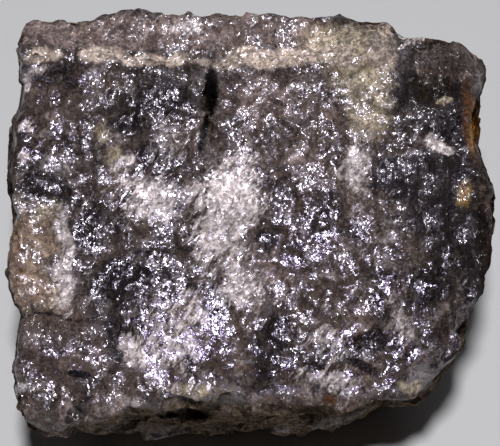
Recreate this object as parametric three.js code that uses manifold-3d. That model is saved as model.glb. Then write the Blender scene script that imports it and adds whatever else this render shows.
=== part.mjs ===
// Smoky quartz: one broken lump of massive quartz, about the size of a fist.
// A broad rough face leans towards the front and ends in a lip over an undercut front. A shelf of
// paler quartz stands along the back of that face, and the lump rests on a flat break underneath.
// Millimetres, +Z up, +Y to the back, origin under the middle of the lump, on the surface it rests on.

import * as THREE from "three";
import { ImprovedNoise } from "three/addons/math/ImprovedNoise.js";
import Module from "manifold-3d";

// Driving dimensions, in millimetres and degrees
const LIP_HEIGHT = 34; // the front lip of the broad face above the base
const LIP_Y = -38; // and its place, front to back
const FACE_TILT = 20; // lean of the broad face towards the front
const UNDERCUT = 13; // lean of the front, inwards and down from the lip
const FACE_RUN = 63; // up the broad face from the lip to the foot of the shelf
const FACE_MIDDLE = 33.4; // up the broad face from the lip to where its features are measured from
const SHELF_RISE = 2.6; // step from the broad face up to the shelf
const SHELF_TILT = 9; // fall of the shelf's top towards the back
const SHELF_END_X = 26.5; // the shelf's right-hand end
const SHELF_END_TURN = 22; // turn of that end towards the front
const SHELF_END_LEAN = 30; // and its lean away from upright
const RISER_LEAN = 32; // lean of the step's face away from upright
const BACK_Y = 35; // the back, at half its height
const BACK_LEAN = 4; // lean of the back, inwards and up
const SIDE_X = 46.5; // the left and right sides, at rim height
const RIM_HEIGHT = 38; // height where the sides are widest
const FLANK_LEAN = 13; // lean of the sides, inwards and down from the rim
const ROOT_DEPTH = 3; // how far the rough lump reaches below the flat break before it is cut
const GROUND = { width: 200, depth: 40 }; // the block that cuts the flat break

// Cells that the broken surface is found on, each about the size of a facet
const CELL = 2.8;
const GRID_SIZE = 132; // side of the cube of cells, which holds the lump however it is turned
const GRID_MIDDLE = new THREE.Vector3(0, 0, 27);
const GRID_TURN = new THREE.Quaternion().setFromEuler(new THREE.Euler(0.62, 0.41, 0.55));
const SLOPE_STEP = 0.15; // distance over which the slope of the field is measured
const FILL_DEPTH = 0.05; // how far inside a filled corner is taken to lie
const CROSSING_MARGIN = 0.02; // share of a cell's edge that a crossing keeps from its ends
const VERTEX_MARGIN = 0.06; // share of a cell that its vertex keeps from the cell's sides
const SETTLE_ROUNDS = 14;

// The eye that the outline is drawn for looks down at the broad face
const EYE_ELEVATION = 60;
const EYE_DISTANCE = 400;
const SIGHT_POINT = new THREE.Vector3(0, -4.8, 43.4);

// The lump's outline as that eye sees it, right and up from the sight point, clockwise from the left
const OUTLINE = [
  [-44.7, 11.4], [-45.0, 17.9], [-44.2, 22.3], [-43.8, 26.7], [-43.2, 31.6], [-42.3, 35.7],
  [-40.8, 38.0], [-35.4, 38.9], [-33.7, 38.7], [-32.4, 37.8], [-29.2, 38.1], [-25.9, 39.8],
  [-20.8, 39.5], [-14.6, 39.6], [-12.5, 39.0], [-2.6, 39.3], [2.4, 40.4], [8.9, 40.4],
  [12.8, 39.2], [17.0, 38.6], [22.1, 37.1], [23.9, 37.2], [25.9, 36.5], [26.8, 35.0],
  [28.9, 33.9], [33.7, 34.2], [37.0, 33.9], [39.6, 32.6], [41.7, 31.0], [42.9, 28.9],
  [43.4, 24.9], [42.3, 20.8], [42.0, 13.7], [42.8, 11.4], [44.1, 7.3], [44.9, 4.3],
  [45.4, -0.4], [45.2, -6.5], [44.1, -11.2], [41.4, -18.4], [38.1, -25.6], [34.2, -30.0],
  [31.6, -33.3], [25.1, -33.8], [19.1, -37.0], [12.0, -38.3], [3.0, -39.7], [-12.5, -39.1],
  [-18.5, -40.2], [-23.6, -40.9], [-27.5, -39.4], [-33.1, -38.3], [-38.7, -39.3], [-42.6, -36.8],
  [-43.5, -33.3], [-44.4, -31.2], [-44.4, -24.9], [-43.9, -21.7], [-42.9, -17.8], [-43.9, -14.4],
  [-45.0, -11.2], [-45.2, -8.6], [-44.5, -7.1], [-43.9, -3.5], [-43.8, 0.7], [-44.4, 5.4],
];

// Features of a face are placed across it and up it from its middle, with turns in degrees.
// A bevel falls away from its place towards turn. A notch has a wall at its place and a floor that
// rises again over run towards turn. A hollow is a round shell-like chip, and a boss a round swelling.
const BROAD = {
  bevels: [
    { across: 37, up: 24, turn: 10, fall: 42 },
    { across: 27, up: 0, turn: -8, fall: 13 },
    { across: 40, up: -6, turn: -6, fall: 44 },
    { across: 25, up: -25, turn: -38, fall: 24 },
    { across: 0, up: -25, turn: -90, fall: 13 },
    { across: -37, up: -22, turn: -150, fall: 20 },
    { across: -34, up: -30, turn: -100, fall: 40 },
    { across: -42.5, up: 14, turn: 178, fall: 30 },
    { across: -30, up: 22, turn: 150, fall: 8 },
  ],
  notches: [
    { across: -7.5, up: 23, turn: 0, depth: 2.4, run: 20, reach: 14 },
    { across: -22, up: 14, turn: -70, depth: 1.8, run: 12, reach: 12 },
    { across: 14, up: 22, turn: -100, depth: 1.6, run: 14, reach: 12 },
    { across: 28, up: 25, turn: -20, depth: 1.5, run: 16, reach: 14 },
    { across: 33, up: 15, turn: -105, depth: 1.8, run: 12, reach: 13 },
    { across: 6, up: 4, turn: -35, depth: 1.8, run: 15, reach: 13 },
    { across: -8, up: -8, turn: -120, depth: 1.7, run: 13, reach: 14 },
    { across: 16, up: -23, turn: -130, depth: 1.8, run: 13, reach: 13 },
    { across: -23, up: -21, turn: 25, depth: 1.8, run: 16, reach: 13 },
  ],
  hollows: [
    { across: -29, up: -2, rim: 6.5, depth: 2.3 },
    { across: -41, up: -6, rim: 9, depth: 2.4 },
    { across: -19, up: 13, rim: 5.5, depth: 1.6 },
    { across: -36, up: 9, rim: 8, depth: 1.7 },
    { across: 1, up: 15, rim: 8, depth: 1.4 },
    { across: -18, up: -10, rim: 8, depth: 1.9 },
    { across: 22, up: 7, rim: 8, depth: 1.6 },
    { across: 33, up: -8, rim: 9, depth: 1.5 },
    { across: 27, up: -24, rim: 6.5, depth: 1.7 },
    { across: 8, up: -12, rim: 7, depth: 1.2 },
    { across: 36, up: 23, rim: 8, depth: 1.3 },
  ],
  bosses: [
    { across: -33, up: -22, rim: 13, height: 2.6 },
    { across: -6, up: 5, rim: 10, height: 1.5 },
    { across: -16, up: -27, rim: 11, height: 1.4 },
    { across: 19, up: -10, rim: 10, height: 1.2 },
  ],
};
const SHELF = {
  notches: [
    { across: -28, up: 3, turn: 60, depth: 1.5, run: 10, reach: 9 },
    { across: 2, up: 2, turn: 100, depth: 1.4, run: 9, reach: 12 },
  ],
  hollows: [
    { across: -14, up: 4, rim: 6, depth: 1.2 },
    { across: 14, up: 4, rim: 7, depth: 1.5 },
  ],
  bosses: [
    { across: 24.5, up: 2.5, rim: 4.5, height: 1.9 },
    { across: -24, up: 6, rim: 6, height: 1.3 },
  ],
};
const FRONT = {
  bevels: [{ across: 0, up: -28, turn: -90, fall: 24 }],
  notches: [
    { across: -12, up: -6, turn: -80, depth: 2.0, run: 9, reach: 20 },
    { across: 14, up: -11, turn: -100, depth: 1.2, run: 10, reach: 20 },
    { across: -20, up: -17, turn: -75, depth: 2.0, run: 10, reach: 16 },
  ],
  hollows: [
    { across: 24, up: -12, rim: 12, depth: 4.0 },
    { across: 0, up: -24, rim: 10, depth: 0.8 },
  ],
  bosses: [{ across: -36, up: -10, rim: 18, height: 4.0 }],
};
const LEFT = {
  bevels: [
    { across: -14, up: 0, turn: 180, fall: 20 },
    { across: 0, up: -16, turn: -80, fall: 16 },
  ],
  notches: [
    { across: 6, up: 6, turn: -60, depth: 2.6, run: 16, reach: 18 },
    { across: -16, up: -6, turn: -110, depth: 2.2, run: 14, reach: 14 },
  ],
  hollows: [
    { across: 14, up: -14, rim: 13, depth: 3.0 },
    { across: -18, up: 12, rim: 11, depth: 2.4 },
  ],
};
const RIGHT = {
  bevels: [
    { across: 20, up: 0, turn: 0, fall: 18 },
    { across: 0, up: -14, turn: -100, fall: 18 },
  ],
  notches: [
    { across: -6, up: 8, turn: -90, depth: 2.6, run: 15, reach: 18 },
    { across: 14, up: -6, turn: -120, depth: 2.2, run: 14, reach: 14 },
  ],
  hollows: [
    { across: -16, up: -10, rim: 13, depth: 3.0 },
    { across: 18, up: 12, rim: 10, depth: 2.2 },
  ],
};
const BACK = {
  bevels: [
    { across: 30, up: -4, turn: -35, fall: 24 },
    { across: -28, up: 0, turn: 180, fall: 18 },
    { across: 0, up: -16, turn: -90, fall: 22 },
  ],
  notches: [
    { across: -8, up: 9, turn: -70, depth: 3.0, run: 18, reach: 22 },
    { across: 18, up: -4, turn: -110, depth: 2.4, run: 14, reach: 16 },
    { across: -24, up: -8, turn: 20, depth: 2.4, run: 16, reach: 14 },
  ],
  hollows: [
    { across: 12, up: 14, rim: 14, depth: 3.4 },
    { across: -16, up: -4, rim: 12, depth: 2.6 },
    { across: 28, up: -10, rim: 10, depth: 2.4 },
  ],
};

// Roughness of every break: size of the lumps, how far they stand out and how they are turned
const ROUGHNESS = [
  { size: 27, height: 1.5, turn: new THREE.Euler(0.5, 0.9, 0.3) },
  { size: 12, height: 0.8, turn: new THREE.Euler(1.1, 0.4, 0.7) },
  { size: 6.4, height: 0.35, turn: new THREE.Euler(0.7, 1.3, 0.2) },
];
const CREST_LEVEL = 0.55; // height of a crest over the mean surface, as a share of its layer's height
const CREST_FALL = 2.6; // how steeply the surface falls away from a crest
const CREST_SHIFT = 0.08; // moves the crests off the noise's own lattice
const SHELF_ROUGH = 0.7; // share of the roughness that the shelf shows
const RISER_ROUGH = 0.25; // and the step's face
const OUTLINE_ROUGH = 0.35; // and the outline

const SMOKY = { color: 0x4a413f, roughness: 0.28, metalness: 0 };

const noise = new ImprovedNoise();
const degrees = THREE.MathUtils.degToRad;

// How far the rough surface stands out at a point, with sharp crests between shallow dishes
function roughnessAt(point) {
  const place = new THREE.Vector3();
  let height = 0;
  for (const layer of ROUGHNESS) {
    place.copy(point).applyEuler(layer.turn).divideScalar(layer.size);
    const value = noise.noise(place.x, place.y, place.z + layer.size);
    height += layer.height * (CREST_LEVEL - CREST_FALL * Math.abs(value + CREST_SHIFT));
  }
  return height;
}

// A face of the lump: a plane through middle that faces out, with up as its uphill direction
function makeFace(middle, out, up, features = {}) {
  const across = new THREE.Vector3().crossVectors(up, out);
  return { middle, out, up, across, bevels: [], notches: [], hollows: [], bosses: [], ...features };
}

// How far a point lies outside a face, in millimetres, with the face's features cut in
function outsideFace(face, point, place) {
  place.subVectors(point, face.middle);
  const across = place.dot(face.across);
  const up = place.dot(face.up);
  const above = place.dot(face.out);
  let outside = above;
  for (const bevel of face.bevels) {
    const along = alongTurn(bevel, across, up);
    const fall = degrees(bevel.fall);
    outside = Math.max(outside, above * Math.cos(fall) + along * Math.sin(fall));
  }
  for (const boss of face.bosses) {
    outside = Math.min(outside, -capDistance(boss, across, up, -above, boss.height));
  }
  for (const hollow of face.hollows) {
    outside = Math.max(outside, capDistance(hollow, across, up, above, hollow.depth));
  }
  for (const notch of face.notches) {
    const along = alongTurn(notch, across, up);
    const aside = alongTurn({ ...notch, turn: notch.turn + 90 }, across, up);
    const floor = notch.depth * (along / notch.run - 1 + (aside / notch.reach) ** 2);
    outside = Math.max(outside, Math.min(along, above - floor));
  }
  return outside;
}

// Distance from a feature's place, measured along its turn
function alongTurn(feature, across, up) {
  const turn = degrees(feature.turn);
  return (across - feature.across) * Math.cos(turn) + (up - feature.up) * Math.sin(turn);
}

// How deep a point lies in the ball whose cap reaches below a face by depth within its rim
function capDistance(cap, across, up, above, depth) {
  const radius = (cap.rim ** 2 + depth ** 2) / (2 * depth);
  return radius - Math.hypot(across - cap.across, up - cap.up, above - (radius - depth));
}

// Directions in the plane that runs from front to back, an angle above the horizontal
const towardsFront = (angle) => new THREE.Vector3(0, -Math.cos(degrees(angle)), Math.sin(degrees(angle)));
const towardsBack = (angle) => new THREE.Vector3(0, Math.cos(degrees(angle)), Math.sin(degrees(angle)));

// The faces of the lump
const lip = new THREE.Vector3(0, LIP_Y, LIP_HEIGHT);
const uphill = towardsBack(FACE_TILT);
const broadMiddle = lip.clone().addScaledVector(uphill, FACE_MIDDLE);
const broad = makeFace(broadMiddle, towardsFront(90 - FACE_TILT), uphill, BROAD);

const shelfFoot = lip.clone().addScaledVector(uphill, FACE_RUN);
const riserUp = towardsBack(90 - RISER_LEAN);
const riser = makeFace(shelfFoot, towardsFront(RISER_LEAN), riserUp);
const shelfEdge = shelfFoot.clone().addScaledVector(riserUp, SHELF_RISE / riserUp.z);
const shelf = makeFace(shelfEdge, towardsBack(90 - SHELF_TILT), towardsBack(-SHELF_TILT), SHELF);
const shelfEndTurn = new THREE.Euler(0, -degrees(SHELF_END_LEAN), -degrees(SHELF_END_TURN), "ZYX");
const shelfEnd = makeFace(
  shelfFoot.clone().setX(SHELF_END_X),
  new THREE.Vector3(1, 0, 0).applyEuler(shelfEndTurn),
  new THREE.Vector3(0, 0, 1).applyEuler(shelfEndTurn),
);

const front = makeFace(lip, towardsFront(-UNDERCUT), towardsFront(90 - UNDERCUT), FRONT);
const backMiddle = new THREE.Vector3(0, BACK_Y, LIP_HEIGHT);
const back = makeFace(backMiddle, towardsBack(BACK_LEAN), towardsFront(90 - BACK_LEAN), BACK);

// A side of the lump, leaning inwards and down: side is -1 on the left and 1 on the right
function flank(side, features) {
  const out = Math.cos(degrees(FLANK_LEAN));
  const down = Math.sin(degrees(FLANK_LEAN));
  const middle = new THREE.Vector3(side * SIDE_X, 0, RIM_HEIGHT);
  const facing = new THREE.Vector3(side * out, 0, -down);
  return makeFace(middle, facing, new THREE.Vector3(side * down, 0, out), features);
}
const left = flank(-1, LEFT);
const right = flank(1, RIGHT);

// The eye's own directions
const toEye = towardsFront(EYE_ELEVATION);
const eyeUp = towardsBack(90 - EYE_ELEVATION);

// How far outside the outline a point is seen, in millimetres at the sight point
function outsideOutline(point, place) {
  place.subVectors(point, SIGHT_POINT);
  const nearer = EYE_DISTANCE / (EYE_DISTANCE - place.dot(toEye));
  const u = place.x * nearer;
  const v = place.dot(eyeUp) * nearer;
  let nearest = Infinity;
  let inside = false;
  OUTLINE.forEach(([u0, v0], i) => {
    const [u1, v1] = OUTLINE[(i + 1) % OUTLINE.length];
    const du = u1 - u0;
    const dv = v1 - v0;
    const share = THREE.MathUtils.clamp(((u - u0) * du + (v - v0) * dv) / (du * du + dv * dv), 0, 1);
    nearest = Math.min(nearest, Math.hypot(u - u0 - share * du, v - v0 - share * dv));
    if (v0 > v !== v1 > v && u < u0 + ((v - v0) / dv) * du) inside = !inside;
  });
  return inside ? -nearest : nearest;
}

// How far outside the stone a point lies: negative inside, zero on the surface
function outsideStone(point) {
  const place = new THREE.Vector3();
  const rough = roughnessAt(point);
  const step = Math.max(
    outsideFace(shelf, point, place) - SHELF_ROUGH * rough,
    outsideFace(riser, point, place) - RISER_ROUGH * rough,
    outsideFace(shelfEnd, point, place) - rough,
  );
  const top = Math.min(outsideFace(broad, point, place) - rough, step);
  const walls = [front, left, right, back].map((face) => outsideFace(face, point, place));
  const edge = outsideOutline(point, place) - OUTLINE_ROUGH * rough;
  return Math.max(top, edge, Math.max(...walls) - rough, -ROOT_DEPTH - point.z);
}

// The grid that the surface is found on, turned so that its cells line up with none of the faces
const count = Math.ceil(GRID_SIZE / CELL);
const cornerIndex = (i, j, k) => (i * (count + 1) + j) * (count + 1) + k;
const cornerPoint = (i, j, k) => new THREE.Vector3(i, j, k).subScalar(count / 2).multiplyScalar(CELL);
const outOfGrid = (point) => point.clone().applyQuaternion(GRID_TURN).add(GRID_MIDDLE);
const outsideInGrid = (point) => outsideStone(outOfGrid(point));

// The field at every corner of the grid
function sampleField() {
  const values = new Float64Array((count + 1) ** 3);
  forEachCorner((i, j, k) => {
    values[cornerIndex(i, j, k)] = outsideInGrid(cornerPoint(i, j, k));
  });
  return values;
}

function forEachCorner(visit) {
  for (let i = 0; i <= count; i++) {
    for (let j = 0; j <= count; j++) {
      for (let k = 0; k <= count; k++) visit(i, j, k);
    }
  }
}

// Fills the corners of every cell side whose inside corners only touch diagonally, so that the
// surface never meets itself along an edge
function fillDiagonals(values) {
  const sides = [[1, 2], [2, 0], [0, 1]];
  for (let changed = true; changed; ) {
    changed = false;
    forEachCorner((...corner) => {
      for (const [a, b] of sides) {
        if (corner[a] === count || corner[b] === count) continue;
        const shift = (da, db) => {
          const moved = [...corner];
          moved[a] += da;
          moved[b] += db;
          return cornerIndex(...moved);
        };
        const ring = [shift(0, 0), shift(1, 0), shift(1, 1), shift(0, 1)];
        const [p, q, r, s] = ring.map((index) => values[index] < 0);
        if (p !== r || q !== s || p === q) continue;
        for (const index of ring) values[index] = Math.min(values[index], -FILL_DEPTH);
        changed = true;
      }
    });
  }
}

// The direction that the field grows in at a point
function outwardAt(point) {
  const slope = ["x", "y", "z"].map((axis) => {
    const ahead = point.clone();
    const behind = point.clone();
    ahead[axis] += SLOPE_STEP;
    behind[axis] -= SLOPE_STEP;
    return outsideInGrid(ahead) - outsideInGrid(behind);
  });
  return new THREE.Vector3(...slope).normalize();
}

// Where the surface crosses from one corner to the next
function crossing(from, to, fromValue, toValue) {
  let share = fromValue / (fromValue - toValue);
  const point = from.clone().lerp(to, share);
  const value = outsideInGrid(point);
  if (value < 0 === fromValue < 0) share += (1 - share) * (value / (value - toValue));
  else share *= fromValue / (fromValue - value);
  const kept = THREE.MathUtils.clamp(share, CROSSING_MARGIN, 1 - CROSSING_MARGIN);
  return point.lerpVectors(from, to, kept);
}

// One vertex in each cell that the surface crosses, drawn to where the surface's tangent planes
// in that cell meet, so that ledges and ridges stay sharp
function facetedSurface() {
  const values = sampleField();
  fillDiagonals(values);
  const cells = new Map();
  const quads = [];
  const cellAt = (i, j, k) => {
    const key = cornerIndex(i, j, k);
    if (!cells.has(key)) {
      cells.set(key, { corner: cornerPoint(i, j, k), points: [], normals: [], index: cells.size });
    }
    return cells.get(key);
  };
  forEachCorner((...corner) => {
    for (const axis of [0, 1, 2]) {
      const next = [...corner];
      next[axis] += 1;
      if (next[axis] > count) continue;
      const fromValue = values[cornerIndex(...corner)];
      const toValue = values[cornerIndex(...next)];
      if (fromValue < 0 === toValue < 0) continue;
      const point = crossing(cornerPoint(...corner), cornerPoint(...next), fromValue, toValue);
      const normal = outwardAt(point);
      const [a, b] = [(axis + 1) % 3, (axis + 2) % 3];
      const ring = [[0, 0], [-1, 0], [-1, -1], [0, -1]].map(([da, db]) => {
        const place = [...corner];
        place[a] += da;
        place[b] += db;
        const cell = cellAt(...place);
        cell.points.push(point);
        cell.normals.push(normal);
        return cell;
      });
      quads.push(fromValue < 0 ? ring : ring.reverse());
    }
  });
  const vertices = [...cells.values()].map(settleVertex);
  const triangles = quads.flatMap((ring) => splitQuad(ring.map((cell) => cell.index), vertices));
  return { vertices, triangles };
}

// The point of a cell that lies nearest to all the tangent planes found on its edges
function settleVertex(cell) {
  const margin = VERTEX_MARGIN * CELL;
  const lowest = cell.corner.clone().addScalar(margin);
  const highest = cell.corner.clone().addScalar(CELL - margin);
  const share = 1 / cell.points.length;
  const vertex = new THREE.Vector3();
  for (const point of cell.points) vertex.addScaledVector(point, share);
  const pull = new THREE.Vector3();
  for (let round = 0; round < SETTLE_ROUNDS; round++) {
    pull.set(0, 0, 0);
    cell.points.forEach((point, i) => {
      const normal = cell.normals[i];
      pull.addScaledVector(normal, share * (normal.dot(point) - normal.dot(vertex)));
    });
    vertex.add(pull).clamp(lowest, highest);
  }
  return vertex;
}

// Two triangles for four corners, cut across the shorter diagonal
function splitQuad([a, b, c, d], vertices) {
  const shortWay = vertices[a].distanceTo(vertices[c]) <= vertices[b].distanceTo(vertices[d]);
  return shortWay ? [a, b, c, a, c, d] : [a, b, d, b, c, d];
}

// The lump with its flat break underneath, cut by a block below the resting surface
const wasm = await Module();
wasm.setup();

function solidOf(positions, triangles) {
  const vertProperties = new Float32Array(positions);
  const triVerts = new Uint32Array(triangles);
  return new wasm.Manifold(new wasm.Mesh({ numProp: 3, vertProperties, triVerts }));
}

function solidOfBox(size, middle) {
  const box = new THREE.BoxGeometry(...size).translate(...middle);
  box.deleteAttribute("normal").deleteAttribute("uv");
  const corners = new Map();
  const positions = [];
  const merged = [...box.index.array].map((vertex) => {
    const point = new THREE.Vector3().fromBufferAttribute(box.attributes.position, vertex);
    const key = point.toArray().join();
    if (!corners.has(key)) {
      corners.set(key, corners.size);
      positions.push(...point);
    }
    return corners.get(key);
  });
  return solidOf(positions, merged);
}

function quartzGeometry() {
  const { vertices, triangles } = facetedSurface();
  const rough = solidOf(vertices.flatMap((vertex) => outOfGrid(vertex).toArray()), triangles);
  const ground = solidOfBox([GROUND.width, GROUND.width, GROUND.depth], [0, 0, -GROUND.depth / 2]);
  const { vertProperties, triVerts } = rough.subtract(ground).getMesh();
  const geometry = new THREE.BufferGeometry();
  geometry.setAttribute("position", new THREE.BufferAttribute(vertProperties, 3));
  geometry.setIndex(new THREE.BufferAttribute(triVerts, 1));
  geometry.computeBoundingBox();
  const middle = geometry.boundingBox.getCenter(new THREE.Vector3());
  geometry.translate(-middle.x, -middle.y, 0);
  geometry.computeVertexNormals();
  return geometry;
}

const quartz = new THREE.Mesh(quartzGeometry(), new THREE.MeshStandardMaterial(SMOKY));
quartz.name = "smoky_quartz";

const specimen = new THREE.Group();
specimen.name = "smoky_quartz_specimen";
specimen.add(quartz);

export default specimen;
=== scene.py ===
"""Smoky quartz: the fine broken surface, the colours of the stone and a plain studio stage.

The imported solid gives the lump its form. This script breaks its facets into chips, flakes and grains,
spreads the stone's milky, tan, dark and rusty patches over them, and sets the floor, lights and camera.
"""

import math
from collections import namedtuple

import bmesh
import bpy
import numpy as np
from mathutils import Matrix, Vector, noise


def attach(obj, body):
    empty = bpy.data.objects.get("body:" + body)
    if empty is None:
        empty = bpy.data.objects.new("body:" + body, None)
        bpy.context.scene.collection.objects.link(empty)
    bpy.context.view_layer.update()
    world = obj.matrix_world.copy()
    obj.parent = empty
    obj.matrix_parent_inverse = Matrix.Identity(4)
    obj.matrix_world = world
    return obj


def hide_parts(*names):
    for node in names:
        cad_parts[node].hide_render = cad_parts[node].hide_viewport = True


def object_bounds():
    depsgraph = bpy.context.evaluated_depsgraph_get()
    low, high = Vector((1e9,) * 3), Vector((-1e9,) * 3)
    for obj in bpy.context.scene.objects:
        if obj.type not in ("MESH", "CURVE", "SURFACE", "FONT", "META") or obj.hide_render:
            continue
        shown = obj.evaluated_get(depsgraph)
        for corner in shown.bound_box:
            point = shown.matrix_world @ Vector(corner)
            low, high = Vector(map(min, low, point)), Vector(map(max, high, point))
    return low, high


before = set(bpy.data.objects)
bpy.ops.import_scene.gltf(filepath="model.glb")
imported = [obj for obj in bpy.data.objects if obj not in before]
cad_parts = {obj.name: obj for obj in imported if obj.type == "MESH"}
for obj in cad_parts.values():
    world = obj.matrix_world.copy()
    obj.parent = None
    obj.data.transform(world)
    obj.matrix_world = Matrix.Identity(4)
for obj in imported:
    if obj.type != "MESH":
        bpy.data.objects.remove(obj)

bl_info = {
    "name": "Smoky Quartz Specimen",
    "version": (1, 0, 0),
    "blender": (4, 5, 0),
    "location": "View3D > Sidebar > Quartz",
    "description": "Builds a broken lump of massive smoky quartz and a plain stage for it",
    "category": "Object",
}

NODE = "smoky_quartz"
STONE = "smoky_quartz_stone"
MM = 0.001

CAD_LOW, CAD_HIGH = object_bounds()

# The eye that the patches are placed for: it looks down at the broad face
EYE_ELEVATION = math.radians(60)
EYE_DISTANCE = 400 * MM
SIGHT_POINT = Vector((0.15, -2.56, 43.4)) * MM
TO_EYE = np.array((0, -math.cos(EYE_ELEVATION), math.sin(EYE_ELEVATION)))
EYE_UP = np.array((0, math.sin(EYE_ELEVATION), math.cos(EYE_ELEVATION)))
VIEW_WIDTH = 93.5 * MM  # width of the view at the sight point
SENSOR_WIDTH = 36  # in millimetres, as Blender gives it

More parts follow.
